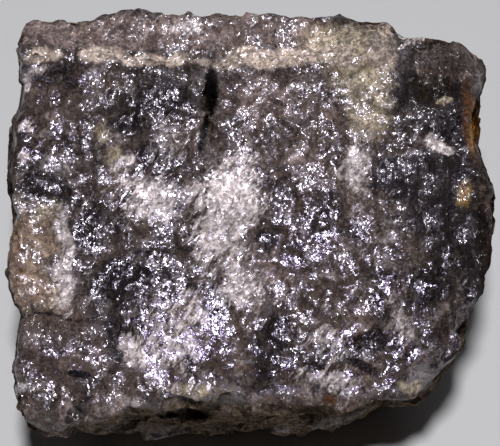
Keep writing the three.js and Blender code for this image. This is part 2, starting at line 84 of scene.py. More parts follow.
# Patches of the stone as the eye sees them, in millimetres right and up from the sight point.
# Each is a soft-edged oval: right, up, half width, half height, turn in degrees, strength.
PATCHES = {
    # clear brown quartz: the swelling block, and the plane beside the crack
    "brown": [
        (-35.2, -22.7, 9.0, 8.2, 0, 1.0),
        (-2.3, 20.0, 5.0, 5.8, 0, 0.7),
        (1.4, -15.9, 3.2, 2.8, 0, 0.9),
        (3.0, 36.5, 7.0, 2.4, 0, 0.8),
    ],
    # deep smoky quartz, nearly black; some ovals below are painted shade instead
    "dark": [
        (-16.8, 24.0, 9.5, 6.2, 0, 0.7),
        (-22.0, 18.6, 3.4, 3.0, 20, 0.9),
        (-18.7, 12.7, 3.4, 2.4, 0, 0.9),
        (-33.0, 13.0, 3.0, 6.0, -10, 0.5),
        (-29.5, -0.7, 2.8, 4.8, -10, 1.0),
        (-39.6, 6.7, 5.0, 2.8, 0, 0.9),
        (30.0, 24.5, 4.5, 5.0, 0, 0.9),
        (36.0, 21.5, 7.0, 8.0, 0, 0.9),
        (30.5, 8.0, 8.0, 4.6, 10, 1.0),
        # the quartz's own dark on the right, and painted shade where the right edge rounds away from the
        # light (this and the next)
        (37.0, 5.0, 7.0, 12.0, 0, 0.9),
        (43.0, -8.0, 4.0, 16.0, 8, 1.0),
        (33.6, -12.0, 6.5, 5.0, 30, 0.7),
        # painted shade on the lower right rim
        (38.4, -26.2, 10.0, 3.0, 61, 1.0),
        # painted shadow in the crevices at the swelling block's right side and top edge (this and the next)
        (-25.6, -21.5, 0.9, 5.0, 6, 0.9),
        (-35.0, -17.4, 9.0, 0.6, -3, 0.8),
        (13.0, 3.0, 6.0, 5.0, 0, 0.5),
        (2.8, -4.0, 2.3, 2.6, 0, 1.0),
        (4.7, -21.5, 4.4, 6.0, 0, 0.7),
        (-24.8, -11.0, 5.0, 5.0, 20, 0.9),
        (-6.6, -15.2, 1.8, 3.2, 0, 0.9),
        (22.4, -22.8, 3.0, 2.6, 30, 1.0),
        (19.6, -26.4, 4.4, 1.0, -35, 0.9),
        (-24.3, 38.0, 3.4, 2.0, 0, 0.8),
        (6.5, 35.0, 4.5, 2.2, 0, 0.8),
    ],
    # rosy grey quartz of the shelf
    "rosy": [
        (-14.0, 35.8, 22.0, 3.8, 0, 0.8),
        (-36.0, 35.6, 7.0, 3.0, 0, 0.8),
        (12.0, 34.6, 8.0, 4.0, 0, 0.8),
        (3.0, 23.0, 9.0, 6.0, -20, 0.6),
        (8.0, 12.0, 7.0, 5.0, 0, 0.45),
        (0.0, -8.0, 7.0, 5.0, 0, 0.6),
    ],
    # pale tan quartz: around the shelf's end, small patches elsewhere, and an inclusion
    "tan": [
        (17.0, 33.5, 7.0, 4.0, 0, 0.85),
        (19.5, 28.0, 7.0, 4.5, -30, 0.9),
        (22.5, 20.5, 4.0, 5.0, -25, 0.75),
        (-38.0, 1.0, 3.0, 2.6, 0, 0.6),
        (-37.0, -13.5, 2.6, 2.6, 0, 0.6),
        (-27.2, 16.8, 0.9, 2.2, 10, 0.9),
        (-25.6, 12.6, 1.3, 1.5, 0, 0.9),
        (29.9, -30.3, 2.2, 1.3, 0, 0.8),
        (-11.5, -31.0, 6.0, 1.5, 0, 0.6),
        (35.9, 22.6, 1.4, 1.0, 0, 0.9),
    ],
    # the warm umber patch on the left edge
    "umber": [
        (-42.5, -3.5, 3.8, 5.4, 0, 1.0),
        (-41.0, -11.0, 4.4, 5.0, 0, 0.95),
        (-38.5, -3.0, 3.0, 4.0, 0, 0.7),
    ],
    # the pale seam along the step below the shelf, and the nodule at its end
    "seam": [
        (-38.9, 31.2, 3.7, 1.3, 0, 0.9),
        (-27.5, 31.6, 4.2, 1.8, -4, 1.0),
        (-19.3, 30.4, 4.6, 1.1, 2, 1.0),
        (-12.9, 30.3, 2.4, 1.1, 0, 0.9),
        (-8.2, 29.9, 2.8, 0.8, 0, 0.9),
        (2.8, 30.9, 8.4, 2.0, 0, 1.0),
        (-3.5, 29.6, 3.0, 1.2, 4, 0.9),
        (13.5, 31.2, 7.0, 1.9, 2, 0.9),
        (24.7, 32.7, 2.9, 4.2, 0, 1.0),
    ],
    # milky veils, where the quartz is full of fine cracks; a few small bright ovals among them are painted
    # highlights that stand in for glints
    "milky": [
        (-18.3, 4.3, 6.0, 3.8, 0, 0.75),
        (-3.4, 5.2, 5.8, 7.4, -20, 0.85),
        (-6.5, -3.2, 5.0, 6.0, -30, 0.7),
        (-1.9, -11.6, 5.6, 4.6, 20, 0.65),
        (-34.4, -2.6, 1.8, 4.4, 15, 0.9),
        (-35.0, -10.0, 2.4, 5.0, 0, 0.75),
        (-41.7, -30.5, 2.6, 1.8, 0, 0.7),
        # painted highlight: this bright chip stands in for the white glints low on the broad face; the next
        # is a milky veil that also brightens that glint cluster, partly painted highlight
        (-21.5, -23.7, 2.8, 2.8, 0, 1.0),
        (-14.5, -21.5, 7.0, 8.0, 0, 0.45),
        (-9.5, -16.0, 3.0, 2.8, 0, 0.6),
        (14.0, -29.5, 7.0, 2.4, -10, 0.5),
        (14.5, -22.5, 4.6, 2.8, -40, 0.5),
        (28.0, -19.0, 2.4, 5.0, 10, 0.45),
        (34.6, 14.6, 2.0, 1.3, 0, 0.85),
        (19.6, 10.8, 2.6, 3.4, 0, 0.8),
        (31.0, 33.6, 5.6, 0.5, 10, 0.8),
        (-40.2, 27.7, 1.4, 1.9, 0, 0.7),
        (-16.0, 14.0, 4.0, 4.0, 0, 0.45),
        # painted highlight: a small bright oval standing in for a glint cluster
        (-23.2, 10.4, 2.2, 1.6, 30, 0.7),
        (-12.0, 36.0, 3.0, 2.0, 0, 0.6),
        # painted highlights: two small bright ovals standing in for the glints on the left edge
        (-40.5, 17.2, 2.2, 1.2, 10, 0.65),
        (-42.4, 12.0, 1.6, 1.3, 0, 0.55),
    ],
    # rusty stains
    "rust": [
        (41.4, 19.5, 1.6, 7.0, 4, 1.0),
        (-43.2, -7.5, 1.5, 5.2, 0, 0.6),
        (-20.0, -38.7, 2.4, 1.0, 0, 0.7),
        (15.0, -32.9, 1.6, 0.8, 0, 0.8),
    ],
    # bright iron stains
    "ochre": [
        (40.6, 5.2, 1.2, 2.0, 10, 1.0),
        (41.8, 15.5, 0.6, 2.4, 4, 0.7),
    ],
    # dark brown of the undercut front: the old stone's own brown and painted shade, where the strip lies in
    # shadow under the lip
    "under": [
        (-34.0, -36.0, 9.0, 3.4, -10, 0.8),
        (-14.0, -36.0, 19.0, 4.2, -2, 1.0),
        (12.0, -35.6, 18.0, 4.0, 8, 1.0),
        (36.8, -27.6, 9.0, 1.2, 61, 0.9),
    ],
    # pale cracks: the swelling block, the undercut front and the shelf
    "veined": [
        (-35.0, -22.0, 10.0, 9.0, 0, 0.5),
        (-26.0, -36.0, 22.0, 3.4, -4, 1.0),
        (12.0, -36.6, 20.0, 3.0, 6, 0.7),
        (2.0, 35.0, 12.0, 4.0, 0, 0.5),
    ],
    # open cracks and the wedge under the swelling block's ledge, painted black as their shadow: painted
    # shadow
    "crack_shadow": [
        (-7.4, 25.0, 1.2, 4.8, 0, 1.0),
        (-8.6, 17.0, 0.6, 4.4, -10, 1.0),
        (-31.8, -28.3, 3.0, 0.7, -6, 1.0),
    ],
    # breaks that do not take the light: the top of the block, the dark planes and the undercut front
    "dull": [
        (-36.0, -18.0, 8.0, 4.0, 0, 0.8),
        (-7.6, 22.0, 1.8, 8.0, 0, 1.0),
        (-2.0, -36.0, 40.0, 3.2, 3, 1.0),
        (34.0, 5.0, 9.0, 8.0, 0, 0.3),
        (35.0, 26.0, 7.0, 6.0, 0, 0.85),
        (44.6, -2.0, 2.6, 24.0, 4, 0.9),
        (39.4, -26.6, 9.0, 1.4, 61, 0.8),
        (-45.0, 5.0, 1.6, 20.0, 0, 0.8),
    ],
}

# Smoother breaks, where the glints run together
CALM = {
    "calm": [
        (-12.5, -21.5, 10.0, 9.5, 0, 1.0),
        (14.0, -1.5, 4.6, 6.0, 0, 0.7),
        (-36.0, 26.0, 7.0, 4.0, 0, 0.7),
        (-39.0, 15.0, 5.0, 4.5, 0, 0.8),
        (36.5, -19.0, 3.0, 6.0, 0, 0.8),
        (13.0, -29.4, 20.0, 3.0, 0, 0.9),
        (-36.0, -26.0, 7.0, 3.5, 0, 0.7),
        (26.8, -13.1, 2.4, 5.4, 0, 0.9),
        (33.8, -12.0, 2.0, 3.0, 0, 0.9),
        (7.7, -7.2, 3.6, 3.6, 0, 0.9),
        (1.1, -27.0, 3.0, 3.0, 0, 0.8),
        (-43.5, 23.5, 3.0, 5.0, 0, 1.0),
        (18.5, -20.0, 3.0, 4.5, 0, 0.8),
        (29.0, -24.0, 3.0, 5.0, 0, 0.8),
        (0.0, -6.0, 38.0, 26.0, 0, 0.3),
    ],
}

# How each patch is drawn: how far its border swerves and, for those with a colour of their own, the colour,
# the width, length and turn in degrees of the grain, how far the grain breaks the border, and its softness
Grain = namedtuple("Grain", "warp colour width length turn ragged blur", defaults=(None,) * 6)
GRAINS = {
    "brown": Grain(1.8 * MM, "brown", 4.0 * MM, 4.0 * MM, 0, 1.4, 0.4),
    "dark": Grain(1.8 * MM, "deep", 1.2 * MM, 4.0 * MM, 4, 1.5, 0.4),
    "rosy": Grain(1.8 * MM, "rosy", 2.0 * MM, 3.0 * MM, 10, 1.8, 0.4),
    "tan": Grain(1.8 * MM, "tan", 1.2 * MM, 2.0 * MM, -30, 1.5, 0.6),
    "milky": Grain(3.2 * MM, "milky", 0.9 * MM, 2.8 * MM, -38, 2.5, 0.45),
    "umber": Grain(2.0 * MM, "umber", 1.6 * MM, 2.2 * MM, -30, 1.6, 0.5),
    "seam": Grain(1.5 * MM, "cream", 1.0 * MM, 1.6 * MM, 60, 1.5, 0.35),
    "rust": Grain(1.0 * MM, "rust", 0.5 * MM, 3.0 * MM, 0, 1.1, 0.6),
    "ochre": Grain(1.6 * MM, "ochre", 0.5 * MM, 0.9 * MM, 0, 2.0, 0.7),
    # painted shade of the undercut front
    "under": Grain(0.8 * MM, "under", 6.0 * MM, 0.9 * MM, 0, 1.0, 0.6),
    # painted shadow in the cracks
    "crack_shadow": Grain(0.6 * MM, "shadow_black", 1.0 * MM, 2.0 * MM, 0, 0.6, 0.4),
    "veined": Grain(1.8 * MM),
    "dull": Grain(1.0 * MM),
    "calm": Grain(1.8 * MM),
}

# Patches that go on under the lip, where the eye hardly sees the surface
THROUGH = ("under", "dull")
PATCH_FALL = 1.5  # where an oval fades out, in half widths
PATCH_WARP_SIZE = 6 * MM  # size of the waves in a patch's border
WARP_SEEDS = (81.3, 17.6)  # seeds of the waves, sideways and upwards
FACING_FULL = 0.12  # how far a surface turns to the eye before its patches show in full
NORMAL_ROUNDS = 14  # rounds of easing of the way the surface faces

# Patches of the sides that the eye doesn't see: strength and seed
HIDDEN = {
    "brown": (0.8, 3),
    "dark": (0.8, 11),
    "tan": (0.6, 23),
    "milky": (0.6, 37),
    "rust": (0.5, 51),
    "veined": (0.8, 67),
}
HIDDEN_SIZE = 24 * MM  # width of those patches
HIDDEN_FROM = 0.1  # noise value where a hidden patch begins
HIDDEN_FULL = 0.5  # rise over which it comes to full strength

# Old breaks: those turned away from the fresh broad face are duller and take the painted undercut shade, and
# the rim doesn't shine at all
FRESH_TILT = 20  # lean of the broad face towards the front, in degrees
FRESH_SIDE = 0.7  # cosine of the turn from the broad face where old breaks begin
FRESH_FALL = 0.3  # fall of that cosine over which they come to full strength
OLD_DULL = 0.45  # how dull they are
RIM_FROM = 0.6  # cosine of the turn from the eye where the rim begins
RIM_FALL = 0.2  # fall over which it goes dull

# The broken surface
JOIN_DISTANCE = 0.001 * MM  # corners closer than this are one corner
MOST_FACETS = 8200  # the solid's flattest facets are joined until this many are left
CALM_LEFT = 0.2  # share of the chips' height that a calm break keeps
EASE_ALL = 0.2  # share of the smoothing that every other break takes
SPLITS = 2  # times that each facet is split at its middle and at the middles of its edges
RIDGE_DETAIL = 3.0
WEAR = 0.25  # how far the edges of the flakes are worn
SHARP_ANGLE = 24  # edges that turn by more than this, in degrees, stay sharp
MIDDLE = 0.5  # middle of the range of a noise or of a cell's own colour

# Paler clouds, then thin veils: the colour, the name of the size, how fine, rough and swirled the noise is,
# the noise values where it begins and is full, and its strength there
Cloud = namedtuple("Cloud", "colour size detail rough swirl low high strength")
CLOUDS = (
    Cloud("smoky", "cloud_size", 8.0, 0.68, 0.0, 0.36, 0.64, 1.0),
    Cloud("milky", "veil_size", 8.0, 0.75, 0.5, 0.52, 0.78, 0.6),
)

# The grain of the patches, the cracks, the small planes and the grit
FIBRE_DETAIL = 6.0
FIBRE_ROUGH = 0.75
FIBRE_SWIRL = 0.6
CRACK_SHOWS = (0.42, 0.52)  # veil values between which a pale crack comes to show
WANDER_DETAIL = 1.0
JITTER_DETAIL = 3.0
GRIT_DETAIL = 2.0
FACET_BEND = 0.55  # waves in the facets' borders, as a share of their width
CELL_TONES = (0.2, 0.8)  # most cells' own tones lie between these

# The small planes: how much their tones differ, and the share of their lean that a calm break keeps
Layer = namedtuple("Layer", "contrast calm_left")
LAYERS = {
    "plate": Layer(0.25, 0.25),
    "facet": Layer(0.35, 0.5),
    "speck": Layer(0.45, 0.35),
}

# Gloss: how far quartz bends light, and the roughness of each kind of break
QUARTZ_IOR = 1.544
ROUGH_BREAK = 0.36
CALM_BREAK = 0.17
DULL_BREAK = 0.85
DULL_LEFT = 0.0  # gloss that a dull break keeps
GLINT_BLUR = 0.12  # roughness of the sharp glints

# The stage, with the places of its lights in metres
CARD_ROUGHNESS = 0.8
KEY_PLACE = Vector((0.0, -0.14, 0.92))
FILL_PLACE = Vector((0.35, 0.85, 0.75))
CLIP_START = 10 * MM



def linear(hex_colour):
    """A linear colour from an sRGB hex value."""
    parts = [int(hex_colour[i:i + 2], 16) / 255 for i in (1, 3, 5)]
    return tuple(c / 12.92 if c <= 0.04045 else ((c + 0.055) / 1.055) ** 2.4 for c in parts)


def colour_property(name, description, hex_colour):
    """A colour that a user may change, with its sRGB hex value as the default."""
    return bpy.props.FloatVectorProperty(
        name=name, description=description, subtype="COLOR", size=3, min=0, max=1, default=linear(hex_colour)
    )


def length_property(name, description, default):
    """A length in metres."""
    return bpy.props.FloatProperty(name=name, description=description, default=default, min=0, unit="LENGTH")


def power_property(name, description, default):
    """A power in watts."""
    return bpy.props.FloatProperty(name=name, description=description, default=default, min=0, unit="POWER")


def number_property(name, description, default):
    """A plain number."""
    return bpy.props.FloatProperty(name=name, description=description, default=default, min=0)


class QuartzBreak(bpy.types.PropertyGroup):
    """Sizes of the broken surface."""

    chip_size: length_property("Chip size", "Width of the larger flat chips", 9 * MM)
    chip_tilt: number_property("Chip tilt", "Steepness of the chips", 0.4)
    flake_size: length_property("Flake size", "Width of the smaller flakes", 3.4 * MM)
    flake_tilt: number_property("Flake tilt", "Steepness of the flakes", 0.42)
    ridge_width: length_property("Ridge width", "Width of the ridges down the broad face", 4.5 * MM)
    ridge_length: length_property("Ridge length", "Length of the ridges", 16 * MM)
    ridge_height: length_property("Ridge height", "Height of the ridges", 1.0 * MM)
    foot_height: length_property("Foot height", "Height over which the break fades into the base", 2 * MM)
    ease_rounds: bpy.props.IntProperty(
        name="Ease rounds", description="Rounds of smoothing of the calm breaks", default=6, min=0
    )


class QuartzGrain(bpy.types.PropertyGroup):
    """Sizes of the grain that is finer than the mesh."""

    plate_size: length_property("Plate size", "Width of the larger glassy planes", 4.5 * MM)
    plate_tilt: number_property("Plate tilt", "Steepness of the larger planes", 0.34)
    facet_size: length_property("Facet size", "Width of the small glassy facets", 0.85 * MM)
    facet_tilt: number_property("Facet tilt", "Steepness of the small facets", 0.24)
    speck_size: length_property("Speck size", "Width of the finest facets", 0.42 * MM)
    speck_tilt: number_property("Speck tilt", "Steepness of the finest facets", 0.42)
    stria_width: length_property("Stria width", "Width of the fine ridges in the dark quartz", 0.55 * MM)
    stria_length: length_property("Stria length", "Length of the fine ridges in the dark quartz", 5 * MM)
    stria_height: length_property("Stria height", "Height of the fine ridges in the dark quartz", 0.12 * MM)
    cloud_size: length_property("Cloud size", "Width of the paler clouds", 9 * MM)
    veil_size: length_property("Veil size", "Width of the thin veils", 5 * MM)
    crack_size: length_property("Crack size", "Distance between the pale cracks", 9 * MM)
    crack_width: length_property("Crack width", "Width of the pale cracks", 0.2 * MM)
    grit_size: length_property("Grit size", "Width of the finest roughness", 0.35 * MM)
    grit_height: length_property("Grit height", "Height of the finest roughness", 0.06 * MM)


class QuartzColours(bpy.types.PropertyGroup):
    """Colours of the stone."""

    # also painted as shade on the right edge, the lower right rim and the swelling block's crevices
    deep: colour_property("Deep smoky", "The darkest, clearest quartz", "#1d1613")
    smoky: colour_property("Smoky", "The common grey-brown quartz", "#65564f")
    brown: colour_property("Clear brown", "Clear brown quartz", "#574a45")
    rosy: colour_property("Rosy grey", "Rosy grey quartz of the shelf", "#887672")
    tan: colour_property("Tan", "Pale tan quartz", "#b4a48e")
    umber: colour_property("Umber", "The warm patch on the left edge", "#988272")
    cream: colour_property("Cream", "The pale seam", "#c8b5a9")
    milky: colour_property("Milky", "Quartz full of fine cracks", "#e4d6d8")
    rust: colour_property("Rust", "Rusty stains", "#54310f")
    ochre: colour_property("Ochre", "Bright iron stains", "#8c6a28")
    # painted shade of the undercut front, over the old stone's own dark brown
    under: colour_property("Undercut", "Old stone of the undercut front", "#5e5043")
    # painted shadow in the open cracks and under the block's ledge
    shadow_black: colour_property("Black", "Open cracks", "#0d0b0a")
    sheen: colour_property("Sheen", "Tint of the glints", "#e8dff6")
    violet: colour_property("Violet sheen", "Tint of the glints on the calm breaks", "#d4c2ff")


class QuartzStage(bpy.types.PropertyGroup):
    """Floor, lights and camera."""

    floor: colour_property("Floor", "Pale matt card", "#d4d4d7")
    floor_size: length_property("Floor size", "Side of the floor", 4.0)
    key_power: power_property("Key power", "Power of the key light", 6.9)
    key_size: length_property("Key size", "Width of the key light", 0.11)
    fill_power: power_property("Fill power", "Power of the fill", 0.7)
    fill_size: length_property("Fill size", "Width of the fill light", 0.7)
    ambient: number_property("Ambient", "Light from all round", 0.008)


def add_node(tree, kind, inputs=None, **settings):
    """Adds a node, sets it up, and links or sets its inputs."""
    node = tree.nodes.new(kind)
    for name, value in settings.items():
        setattr(node, name, value)
    for socket, value in (inputs or {}).items():
        if isinstance(value, bpy.types.NodeSocket):
            tree.links.new(value, node.inputs[socket])
        else:
            node.inputs[socket].default_value = value
    return node


def tilted_cells(tree, place, scale, tilt):
    """Height of a surface that is broken into small planes, each with a lean and a tone of its own."""
    cells = add_node(tree, "ShaderNodeTexVoronoi", {"Vector": place, "Scale": scale})
    lean = add_node(
        tree, "ShaderNodeVectorMath", {0: cells.outputs["Color"], 1: (MIDDLE,) * 3}, operation="SUBTRACT"
    ).outputs[0]
    away = add_node(
        tree, "ShaderNodeVectorMath", {0: place, 1: cells.outputs["Position"]}, operation="SUBTRACT"
    ).outputs[0]
    rise = add_node(
        tree, "ShaderNodeVectorMath", {0: lean, 1: away}, operation="DOT_PRODUCT"
    ).outputs["Value"]
    height = add_node(tree, "ShaderNodeMath", {0: rise, 1: tilt}, operation="MULTIPLY").outputs[0]
    return height, cells.outputs["Color"]


def raise_surface(tree, geometry, height):
    """Moves a surface along its normals."""
    normal = add_node(tree, "GeometryNodeInputNormal").outputs[0]
    offset = add_node(
        tree, "ShaderNodeVectorMath", {0: normal, "Scale": height}, operation="SCALE"
    ).outputs[0]
    return add_node(tree, "GeometryNodeSetPosition", {"Geometry": geometry, "Offset": offset}).outputs[0]


def break_tree():
    """The Geometry Nodes tree that breaks the lump's facets into chips, flakes and ridges."""
    tree = bpy.data.node_groups.new("broken_quartz", "GeometryNodeTree")
    tree.interface.new_socket("Geometry", in_out="INPUT", socket_type="NodeSocketGeometry")
    for name in ("Chip size", "Chip tilt", "Flake size", "Flake tilt", "Ridge height", "Foot height"):
        tree.interface.new_socket(name, in_out="INPUT", socket_type="NodeSocketFloat")
    tree.interface.new_socket("Ease rounds", in_out="INPUT", socket_type="NodeSocketInt")
    for name in ("Ridge size", "Lowest corner", "Highest corner"):
        tree.interface.new_socket(name, in_out="INPUT", socket_type="NodeSocketVector")
    tree.interface.new_socket("Material", in_out="INPUT", socket_type="NodeSocketMaterial")
    tree.interface.new_socket("Geometry", in_out="OUTPUT", socket_type="NodeSocketGeometry")
    given = add_node(tree, "NodeGroupInput").outputs
    place = add_node(tree, "GeometryNodeInputPosition").outputs["Position"]
    calm = add_node(tree, "GeometryNodeInputNamedAttribute", {"Name": "calm"}, data_type="FLOAT").outputs[0]

    # Nothing moves where the lump rests
    up = add_node(tree, "ShaderNodeSeparateXYZ", {0: place}).outputs["Z"]
    fade = add_node(tree, "ShaderNodeMapRange", {"Value": up, "From Max": given["Foot height"]}).outputs[0]

    # The solid's facets are eased a little, and the calm breaks fully, before the small planes are made
    eased = add_node(
        tree,
        "GeometryNodeBlurAttribute",
        {0: place, "Iterations": given["Ease rounds"]},
        data_type="FLOAT_VECTOR",
    ).outputs[0]
    ease = add_node(tree, "ShaderNodeMapRange", {"Value": calm, "To Min": EASE_ALL}).outputs[0]
    ease = add_node(tree, "ShaderNodeMath", {0: ease, 1: fade}, operation="MULTIPLY").outputs[0]
    softer = add_node(
        tree, "ShaderNodeMix", {0: ease, 4: place, 5: eased}, data_type="VECTOR"
    ).outputs[1]
    calmed = add_node(
        tree, "GeometryNodeSetPosition", {"Geometry": given["Geometry"], "Position": softer}
    ).outputs[0]
    broken = add_node(tree, "GeometryNodeSubdivideMesh", {"Mesh": calmed, "Level": SPLITS}).outputs[0]

    # Chips and flakes, lower on the calm breaks
    rough = add_node(
        tree, "ShaderNodeMapRange", {"Value": calm, "To Min": 1.0, "To Max": CALM_LEFT}
    ).outputs[0]
    lively = add_node(tree, "ShaderNodeMath", {0: rough, 1: fade}, operation="MULTIPLY").outputs[0]
    for size, tilt in (("Chip size", "Chip tilt"), ("Flake size", "Flake tilt")):
        scale = add_node(tree, "ShaderNodeMath", {0: 1.0, 1: given[size]}, operation="DIVIDE").outputs[0]
        steep = add_node(
            tree, "ShaderNodeMath", {0: given[tilt], 1: lively}, operation="MULTIPLY"
        ).outputs[0]
        height, _ = tilted_cells(tree, place, scale, steep)
        broken = raise_surface(tree, broken, height)

    # Ridges that run down the broad face, and worn edges
    along = add_node(
        tree, "ShaderNodeVectorMath", {0: place, 1: given["Ridge size"]}, operation="DIVIDE"
    ).outputs[0]
    ridge = add_node(
        tree, "ShaderNodeTexNoise", {"Vector": along, "Scale": 1.0, "Detail": RIDGE_DETAIL}
    ).outputs[0]
    centred = add_node(tree, "ShaderNodeMath", {0: ridge, 1: MIDDLE}, operation="SUBTRACT").outputs[0]
    faded = add_node(tree, "ShaderNodeMath", {0: centred, 1: lively}, operation="MULTIPLY").outputs[0]
    height = add_node(
        tree, "ShaderNodeMath", {0: faded, 1: given["Ridge height"]}, operation="MULTIPLY"
    ).outputs[0]
    ridged = raise_surface(tree, broken, height)
    worn = add_node(
        tree,
        "GeometryNodeBlurAttribute",
        {0: place, "Iterations": 1, "Weight": WEAR},
        data_type="FLOAT_VECTOR",
    ).outputs[0]
    softened = add_node(tree, "GeometryNodeSetPosition", {"Geometry": ridged, "Position": worn}).outputs[0]

    # Nothing reaches past the box of the solid
    above = add_node(
        tree, "ShaderNodeVectorMath", {0: place, 1: given["Lowest corner"]}, operation="MAXIMUM"
    ).outputs[0]
    within = add_node(
        tree, "ShaderNodeVectorMath", {0: above, 1: given["Highest corner"]}, operation="MINIMUM"
    ).outputs[0]
    boxed = add_node(tree, "GeometryNodeSetPosition", {"Geometry": softened, "Position": within}).outputs[0]
    real = add_node(tree, "GeometryNodeRealizeInstances", {"Geometry": boxed}).outputs[0]
    finished = add_node(
        tree, "GeometryNodeSetMaterial", {"Geometry": real, "Material": given["Material"]}
    ).outputs[0]
    add_node(tree, "NodeGroupOutput", {"Geometry": finished})
    return tree


def merged_copy():
    """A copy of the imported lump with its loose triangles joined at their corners."""
    mesh = bpy.data.meshes.new(STONE)
    work = bmesh.new()
    work.from_mesh(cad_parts[NODE].data)
    bmesh.ops.remove_doubles(work, verts=work.verts, dist=JOIN_DISTANCE)
    work.to_mesh(mesh)
    work.free()
    mesh.materials.clear()
    return mesh


def seen_from_eye(points):
    """Right and up from the sight point, in millimetres, as the eye sees each point."""
    away = points - np.array(SIGHT_POINT)
    nearer = EYE_DISTANCE / (EYE_DISTANCE - away @ TO_EYE)
    return away[:, 0] * nearer / MM, (away @ EYE_UP) * nearer / MM


def eased_normals(mesh):
    """The way the surface faces at each vertex, eased so that small chips don't count."""
    count = len(mesh.vertices)
    normals = np.zeros(count * 3)
    mesh.vertex_normals.foreach_get("vector", normals)
    normals = normals.reshape(-1, 3)
    ends = np.zeros(len(mesh.edges) * 2, dtype=np.int32)
    mesh.edges.foreach_get("vertices", ends)
    first, second = ends.reshape(-1, 2).T
    near = np.concatenate((first, second))
    far = np.concatenate((second, first))
    for _ in range(NORMAL_ROUNDS):
        sums = [np.bincount(near, weights=normals[far, axis], minlength=count) for axis in range(3)]
        normals = normals + np.array(sums).T
        normals /= np.linalg.norm(normals, axis=1, keepdims=True)
    return normals


def noise_at(points, size, seed):
    """A smooth noise between -1 and 1 at each point, with waves of a size."""
    drift = Vector((seed, seed, seed))
    return np.array([noise.noise(Vector(point) / size + drift) for point in points])


def paint_patches(mesh, patches):
    """Stores how strongly each patch shows at every vertex."""
    count = len(mesh.vertices)
    points = np.zeros(count * 3)
    mesh.vertices.foreach_get("co", points)
    points = points.reshape(-1, 3)
    right, up = seen_from_eye(points)
    normals = eased_normals(mesh)
    toward = normals @ TO_EYE
    facing = np.clip(toward / FACING_FULL, 0, 1)
    rim = np.clip((RIM_FROM - np.abs(toward)) / RIM_FALL, 0, 1)
    fresh = math.radians(FRESH_TILT)
    leaning = normals @ np.array((0, -math.sin(fresh), math.cos(fresh)))
    old = np.clip((FRESH_SIDE - leaning) / FRESH_FALL, 0, 1)
    warp = [noise_at(points, PATCH_WARP_SIZE, seed) for seed in WARP_SEEDS]
    for kind, ovals in patches.items():
        shown = np.zeros(count)
        sideways, upwards = (wave * GRAINS[kind].warp / MM for wave in warp)
        for x, y, half_width, half_height, turn, strength in ovals:
            angle = math.radians(turn)
            across = right + sideways - x
            above = up + upwards - y
            along = across * math.cos(angle) + above * math.sin(angle)
            beside = above * math.cos(angle) - across * math.sin(angle)
            reach = np.hypot(along / half_width, beside / half_height)
            shown = np.maximum(shown, strength * np.clip(PATCH_FALL - reach, 0, 1))
        if kind not in THROUGH:
            shown = shown * facing
        # painted shade: the undercut front is darkened only on breaks turned away from the broad face
        if kind == "under":
            shown = shown * old
        if kind == "dull":
            shown = np.maximum(shown, np.maximum(OLD_DULL * old, rim))
        if kind in HIDDEN:
            strength, seed = HIDDEN[kind]
            spread = np.clip((noise_at(points, HIDDEN_SIZE, seed) - HIDDEN_FROM) / HIDDEN_FULL, 0, 1)
            shown = np.maximum(shown, strength * (1 - facing) * spread)
        layer = mesh.attributes.new(kind, "FLOAT", "POINT")
        layer.data.foreach_set("value", shown.astype(np.float32))


def broken_mesh(sizes, material):
    """The lump's mesh after the Geometry Nodes tree has broken its surface."""
    plain = merged_copy()
    paint_patches(plain, CALM)
    rough = bpy.data.objects.new("rough_lump", plain)
    bpy.context.scene.collection.objects.link(rough)
    thinner = rough.modifiers.new("fewer_facets", "DECIMATE")
    thinner.ratio = min(1.0, MOST_FACETS / len(plain.polygons))
    tree = break_tree()
    modifier = rough.modifiers.new("broken_quartz", "NODES")
    modifier.node_group = tree
    values = {
        "Chip size": sizes.chip_size,
        "Chip tilt": sizes.chip_tilt,
        "Flake size": sizes.flake_size,
        "Flake tilt": sizes.flake_tilt,
        "Ridge size": (sizes.ridge_width, sizes.ridge_length, sizes.ridge_length),
        "Ridge height": sizes.ridge_height,
        "Foot height": sizes.foot_height,
        "Ease rounds": sizes.ease_rounds,
        "Lowest corner": CAD_LOW,
        "Highest corner": CAD_HIGH,
        "Material": material,
    }
    for item in tree.interface.items_tree:
        if item.in_out == "INPUT" and item.name in values:
            modifier[item.identifier] = values[item.name]
    graph = bpy.context.evaluated_depsgraph_get()
    mesh = bpy.data.meshes.new_from_object(rough.evaluated_get(graph), depsgraph=graph)
    bpy.data.objects.remove(rough)
    return mesh


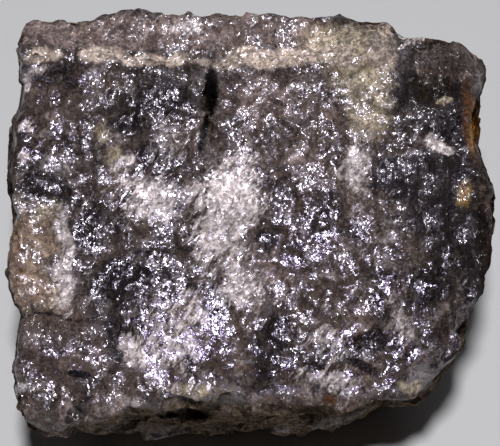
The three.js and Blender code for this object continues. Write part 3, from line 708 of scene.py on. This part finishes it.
def massive_smoky_quartz(colours, grain):
    """Massive smoky quartz, broken by hand: a glassy, uneven break that glitters, dark and clear where the
    quartz is sound, milky where it is full of fine cracks, and stained tan and rusty along old seams."""
    material = bpy.data.materials.new("massive_smoky_quartz")
    material.use_nodes = True
    tree = material.node_tree
    tree.nodes.clear()
    place = add_node(tree, "ShaderNodeTexCoord").outputs["Object"]

    # Paler clouds and thin veils in the dark quartz
    colour = (*colours.deep, 1)
    for cloud in CLOUDS:
        veils = add_node(
            tree,
            "ShaderNodeTexNoise",
            {
                "Vector": place,
                "Scale": 1 / getattr(grain, cloud.size),
                "Detail": cloud.detail,
                "Roughness": cloud.rough,
                "Distortion": cloud.swirl,
            },
        ).outputs["Fac"]
        share = add_node(
            tree,
            "ShaderNodeMapRange",
            {"Value": veils, "From Min": cloud.low, "From Max": cloud.high, "To Max": cloud.strength},
        ).outputs[0]
        paint = (*getattr(colours, cloud.colour), 1)
        colour = add_node(
            tree, "ShaderNodeMix", {0: share, 6: colour, 7: paint}, data_type="RGBA"
        ).outputs[2]

    # The patches, each with a border that its own grain breaks up
    shown = {}
    for kind, own in GRAINS.items():
        shown[kind] = add_node(tree, "ShaderNodeAttribute", attribute_name=kind).outputs["Fac"]
        if own.colour is None:
            continue
        lined = add_node(
            tree,
            "ShaderNodeMapping",
            {
                "Vector": place,
                "Rotation": (0, 0, math.radians(own.turn)),
                "Scale": (own.width, own.length, own.length),
            },
            vector_type="TEXTURE",
        ).outputs[0]
        fibre = add_node(
            tree,
            "ShaderNodeTexNoise",
            {
                "Vector": lined,
                "Scale": 1.0,
                "Detail": FIBRE_DETAIL,
                "Roughness": FIBRE_ROUGH,
                "Distortion": FIBRE_SWIRL,
            },
        ).outputs["Fac"]
        uneven = add_node(
            tree, "ShaderNodeMath", {0: fibre, 1: own.ragged, 2: shown[kind]}, operation="MULTIPLY_ADD"
        ).outputs[0]
        border = (1 + own.ragged) / 2
        share = add_node(
            tree,
            "ShaderNodeMapRange",
            {"Value": uneven, "From Min": border - own.blur / 2, "From Max": border + own.blur / 2},
        ).outputs[0]
        paint = (*getattr(colours, own.colour), 1)
        colour = add_node(
            tree, "ShaderNodeMix", {0: share, 6: colour, 7: paint}, data_type="RGBA"
        ).outputs[2]

    # Thin pale cracks that wander, broken off where the veils, the last of the clouds, are thin
    wander = add_node(
        tree, "ShaderNodeTexNoise", {"Vector": place, "Scale": 1 / grain.cloud_size, "Detail": WANDER_DETAIL}
    ).outputs["Color"]
    wandering = add_node(
        tree,
        "ShaderNodeVectorMath",
        {0: wander, 1: (grain.cloud_size,) * 3, 2: place},
        operation="MULTIPLY_ADD",
    ).outputs[0]
    from_crack = add_node(
        tree,
        "ShaderNodeTexVoronoi",
        {"Vector": wandering, "Scale": 1 / grain.crack_size},
        feature="DISTANCE_TO_EDGE",
    ).outputs["Distance"]
    crack_end = grain.crack_width / grain.crack_size
    line = add_node(
        tree,
        "ShaderNodeMapRange",
        {"Value": from_crack, "From Max": crack_end, "To Min": 1.0, "To Max": 0.0},
    ).outputs[0]
    whole = add_node(
        tree, "ShaderNodeMapRange", {"Value": veils, "From Min": CRACK_SHOWS[0], "From Max": CRACK_SHOWS[1]}
    ).outputs[0]
    line = add_node(tree, "ShaderNodeMath", {0: line, 1: whole}, operation="MULTIPLY").outputs[0]
    share = add_node(tree, "ShaderNodeMath", {0: line, 1: shown["veined"]}, operation="MULTIPLY").outputs[0]
    colour = add_node(
        tree, "ShaderNodeMix", {0: share, 6: colour, 7: (*colours.rosy, 1)}, data_type="RGBA"
    ).outputs[2]

    # Planes of three sizes, each glinting as one, calmer on the smooth breaks
    jitter = add_node(
        tree, "ShaderNodeTexNoise", {"Vector": place, "Scale": 1 / grain.facet_size, "Detail": JITTER_DETAIL}
    ).outputs["Color"]
    jittered = add_node(
        tree,
        "ShaderNodeVectorMath",
        {0: jitter, 1: (FACET_BEND * grain.facet_size,) * 3, 2: place},
        operation="MULTIPLY_ADD",
    ).outputs[0]
    relief = 0.0
    for name, layer in LAYERS.items():
        size = getattr(grain, f"{name}_size")
        tilt = getattr(grain, f"{name}_tilt")
        height, tone = tilted_cells(tree, jittered, 1 / size, tilt)
        lively = add_node(
            tree, "ShaderNodeMapRange", {"Value": shown["calm"], "To Min": 1.0, "To Max": layer.calm_left}
        ).outputs[0]
        relief = add_node(
            tree, "ShaderNodeMath", {0: height, 1: lively, 2: relief}, operation="MULTIPLY_ADD"
        ).outputs[0]
        shade = add_node(
            tree,
            "ShaderNodeMapRange",
            {
                "Value": tone,
                "From Min": CELL_TONES[0],
                "From Max": CELL_TONES[1],
                "To Min": 1 - layer.contrast,
                "To Max": 1 + layer.contrast,
            },
        ).outputs[0]
        colour = add_node(
            tree, "ShaderNodeVectorMath", {0: colour, "Scale": shade}, operation="SCALE"
        ).outputs[0]

    # Fine ridges in the dark quartz, and grit over all of it
    lined = add_node(
        tree,
        "ShaderNodeMapping",
        {"Vector": place, "Scale": (grain.stria_width, grain.stria_length, grain.stria_length)},
        vector_type="TEXTURE",
    ).outputs[0]
    striae = add_node(
        tree, "ShaderNodeTexNoise", {"Vector": lined, "Scale": 1.0, "Detail": GRIT_DETAIL}
    ).outputs["Fac"]
    depth = add_node(
        tree, "ShaderNodeMath", {0: shown["dark"], 1: grain.stria_height}, operation="MULTIPLY"
    ).outputs[0]
    relief = add_node(
        tree, "ShaderNodeMath", {0: striae, 1: depth, 2: relief}, operation="MULTIPLY_ADD"
    ).outputs[0]
    glassy = add_node(
        tree, "ShaderNodeBump", {"Height": relief, "Strength": 1.0, "Distance": 1.0}
    ).outputs[0]
    grit = add_node(
        tree, "ShaderNodeTexNoise", {"Vector": place, "Scale": 1 / grain.grit_size, "Detail": GRIT_DETAIL}
    ).outputs["Fac"]
    gritty = add_node(
        tree,
        "ShaderNodeBump",
        {"Height": grit, "Strength": 1.0, "Distance": grain.grit_height, "Normal": glassy},
    ).outputs[0]

    # The calm breaks are glassier and glint violet, and the dull ones don't shine
    polish = add_node(
        tree, "ShaderNodeMapRange", {"Value": shown["calm"], "To Min": ROUGH_BREAK, "To Max": CALM_BREAK}
    ).outputs[0]
    polish = add_node(
        tree, "ShaderNodeMapRange", {"Value": shown["dull"], "To Min": polish, "To Max": DULL_BREAK}
    ).outputs[0]
    tint = add_node(
        tree,
        "ShaderNodeMix",
        {0: shown["calm"], 6: (*colours.sheen, 1), 7: (*colours.violet, 1)},
        data_type="RGBA",
    ).outputs[2]
    gloss = add_node(
        tree, "ShaderNodeMapRange", {"Value": shown["dull"], "To Min": 1.0, "To Max": DULL_LEFT}
    ).outputs[0]
    shader = add_node(
        tree,
        "ShaderNodeBsdfPrincipled",
        {
            "Base Color": colour,
            "Roughness": polish,
            "IOR": QUARTZ_IOR,
            "Specular IOR Level": gloss,
            "Specular Tint": tint,
            "Coat Weight": gloss,
            "Coat Roughness": GLINT_BLUR,
            "Coat IOR": QUARTZ_IOR,
            "Normal": gritty,
            "Coat Normal": glassy,
        },
    )
    add_node(tree, "ShaderNodeOutputMaterial", {"Surface": shader.outputs[0]})
    return material


def matt_card(colours):
    """Matt white card: even and pale, with hardly any sheen."""
    material = bpy.data.materials.new("matt_card")
    material.use_nodes = True
    shader = material.node_tree.nodes["Principled BSDF"]
    shader.inputs["Base Color"].default_value = (*colours.floor, 1.0)
    shader.inputs["Roughness"].default_value = CARD_ROUGHNESS
    return material


class QUARTZ_OT_stone(bpy.types.Operator):
    """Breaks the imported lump's surface and paints the stone"""

    bl_idname = "quartz.stone"
    bl_label = "Smoky Quartz"

    def execute(self, context):
        material = massive_smoky_quartz(context.scene.quartz_colours, context.scene.quartz_grain)
        mesh = broken_mesh(context.scene.quartz_break, material)
        mesh.name = STONE
        paint_patches(mesh, PATCHES)
        mesh.shade_smooth()
        mesh.set_sharp_from_angle(angle=math.radians(SHARP_ANGLE))
        stone = bpy.data.objects.new(STONE, mesh)
        context.scene.collection.objects.link(stone)
        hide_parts(NODE)
        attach(stone, "root")
        return {"FINISHED"}


def soft_light(scene, name, power, size, place):
    """A round soft light that faces the stone."""
    lamp = bpy.data.lights.new(name, "AREA")
    lamp.shape = "DISK"
    lamp.size = size
    lamp.energy = power
    light = bpy.data.objects.new(name, lamp)
    scene.collection.objects.link(light)
    light.location = place
    light.rotation_euler = (SIGHT_POINT - place).to_track_quat("-Z", "Y").to_euler()


class QUARTZ_OT_stage(bpy.types.Operator):
    """Sets up the floor, the lights and the camera"""

    bl_idname = "quartz.stage"
    bl_label = "Studio Stage"

    def execute(self, context):
        scene = context.scene
        stage = scene.quartz_stage
        half = stage.floor_size / 2
        card = bpy.data.meshes.new("floor")
        corners = [(-half, -half, 0), (half, -half, 0), (half, half, 0), (-half, half, 0)]
        card.from_pydata(corners, [], [(0, 1, 2, 3)])
        card.materials.append(matt_card(stage))
        floor = bpy.data.objects.new("floor", card)
        scene.collection.objects.link(floor)

        soft_light(scene, "key", stage.key_power, stage.key_size, KEY_PLACE)
        soft_light(scene, "fill", stage.fill_power, stage.fill_size, FILL_PLACE)
        world = bpy.data.worlds.new("soft_room")
        world.use_nodes = True
        background = world.node_tree.nodes["Background"]
        background.inputs["Color"].default_value = (1, 1, 1, 1)
        background.inputs["Strength"].default_value = stage.ambient
        scene.world = world
        scene.view_settings.view_transform = "Standard"

        to_eye = Vector(TO_EYE)
        camera = bpy.data.objects.new("camera", bpy.data.cameras.new("camera"))
        scene.collection.objects.link(camera)
        camera.location = SIGHT_POINT + to_eye * EYE_DISTANCE
        camera.rotation_euler = (-to_eye).to_track_quat("-Z", "Y").to_euler()
        camera.data.sensor_width = SENSOR_WIDTH
        camera.data.lens = SENSOR_WIDTH * EYE_DISTANCE / VIEW_WIDTH
        camera.data.clip_start = CLIP_START
        scene.camera = camera
        return {"FINISHED"}


class QUARTZ_PT_panel(bpy.types.Panel):
    """Lists the pieces and their sizes and colours"""

    bl_label = "Smoky Quartz"
    bl_idname = "QUARTZ_PT_panel"
    bl_space_type = "VIEW_3D"
    bl_region_type = "UI"
    bl_category = "Quartz"

    def draw(self, context):
        for operator, group in OPERATOR_GROUPS:
            self.layout.operator(operator)
            for name in group:
                settings = getattr(context.scene, name)
                for key in settings.__annotations__:
                    self.layout.prop(settings, key)


OPERATOR_GROUPS = (
    ("quartz.stone", ("quartz_break", "quartz_grain", "quartz_colours")),
    ("quartz.stage", ("quartz_stage",)),
)
GROUPS = {
    "quartz_break": QuartzBreak,
    "quartz_grain": QuartzGrain,
    "quartz_colours": QuartzColours,
    "quartz_stage": QuartzStage,
}
CLASSES = (*GROUPS.values(), QUARTZ_OT_stone, QUARTZ_OT_stage, QUARTZ_PT_panel)


def register():
    """Registers the classes and hangs the settings on the scene."""
    for item in CLASSES:
        bpy.utils.register_class(item)
    for name, group in GROUPS.items():
        setattr(bpy.types.Scene, name, bpy.props.PointerProperty(type=group))


def unregister():
    """Takes the settings off the scene and the classes out of Blender."""
    for name in GROUPS:
        delattr(bpy.types.Scene, name)
    for item in reversed(CLASSES):
        bpy.utils.unregister_class(item)


def main():
    """Builds the stone and its stage."""
    register()
    bpy.ops.quartz.stone()
    bpy.ops.quartz.stage()


if __name__ == "__main__":
    main()
